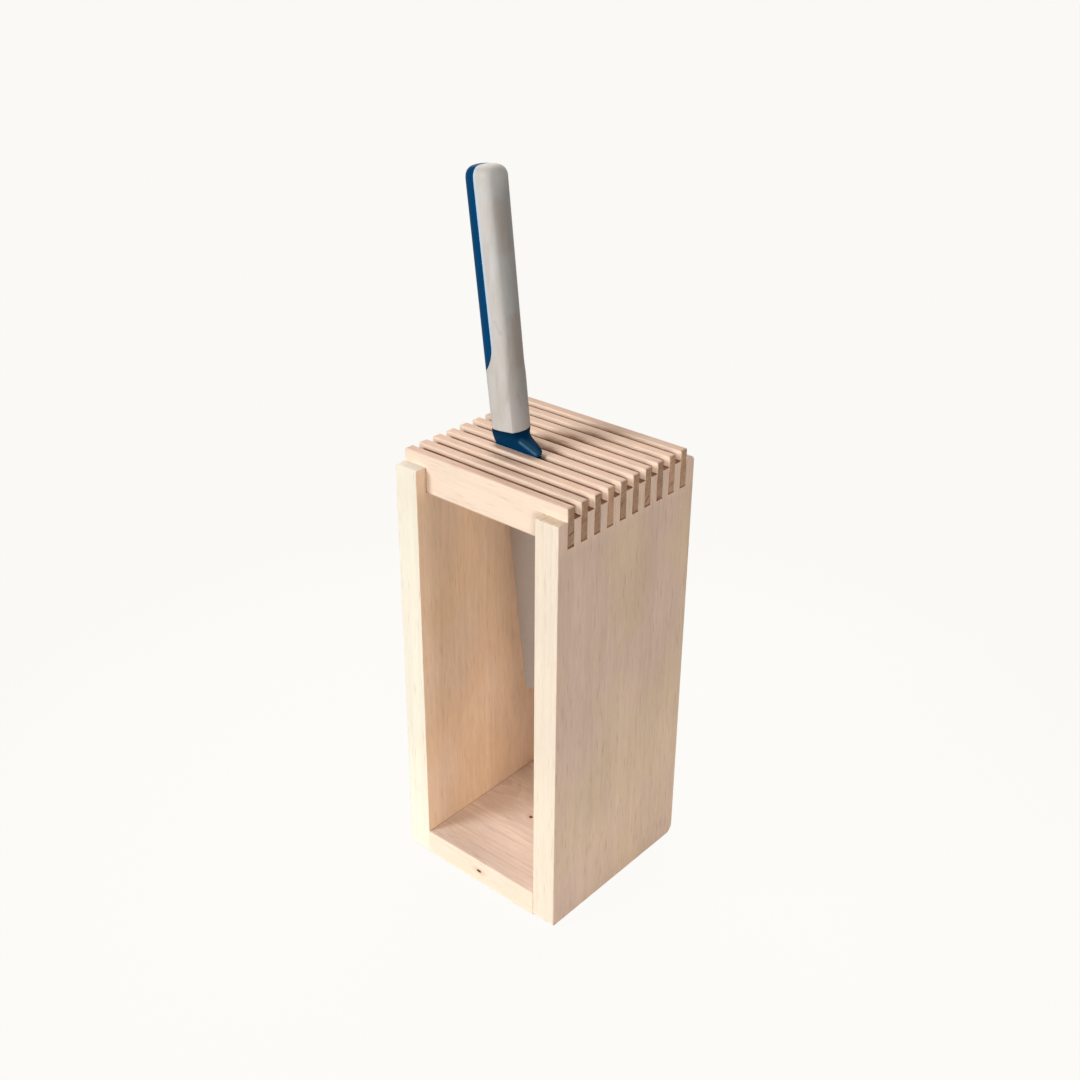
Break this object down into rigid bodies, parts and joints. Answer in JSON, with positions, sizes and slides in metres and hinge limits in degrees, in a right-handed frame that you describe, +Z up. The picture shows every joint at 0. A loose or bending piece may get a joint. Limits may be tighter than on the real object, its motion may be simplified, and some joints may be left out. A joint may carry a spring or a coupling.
{
  "type": "tool storage caddy",
  "caption": "Open-fronted wooden caddy with a row of upright slats on top; a knife with a two-part plastic handle stands by its blade between two slats and lifts out.",
  "frame": {"origin": "middle of the caddy's footprint, on the surface it stands on", "axes": "+Z up; +X to the right as seen from the open front; +Y from the open front to the back"},
  "size_m": [0.1, 0.1, 0.3597],
  "materials": {
    "side_board": "sanded, unfinished pale hardwood with upright grain",
    "bottom_board": "sanded, unfinished pale hardwood with grain across",
    "slat": "sanded, unfinished pale hardwood, end grain darker",
    "dowel": "turned beech",
    "blade": "satin ground steel",
    "blue_plastic": "satin moulded plastic",
    "grey_plastic": "matt soft-touch plastic"
  },
  "bodies": {
    "caddy": {"left_side_panel": "side_board", "right_side_panel": "side_board", "bottom_board": "bottom_board", "top_slat_01": "slat", "top_slat_02": "slat", "top_slat_03": "slat", "top_slat_04": "slat", "top_slat_05": "slat", "top_slat_06": "slat", "top_slat_07": "slat", "top_slat_08": "slat", "top_slat_09": "slat", "top_slat_10": "slat", "dowel_left_front": "dowel", "dowel_left_back": "dowel", "dowel_right_front": "dowel", "dowel_right_back": "dowel"},
    "knife": {"knife_blade": "blade", "knife_bolster": "blue_plastic", "knife_grip": "grey_plastic", "knife_back_shell": "blue_plastic"}
  },
  "joints": [
    {"name": "knife_lift", "type": "slide", "parent": "caddy", "child": "knife", "axis": [-0.1208, 0, 0.9927], "range_m": [0, 0.14]}
  ]
}
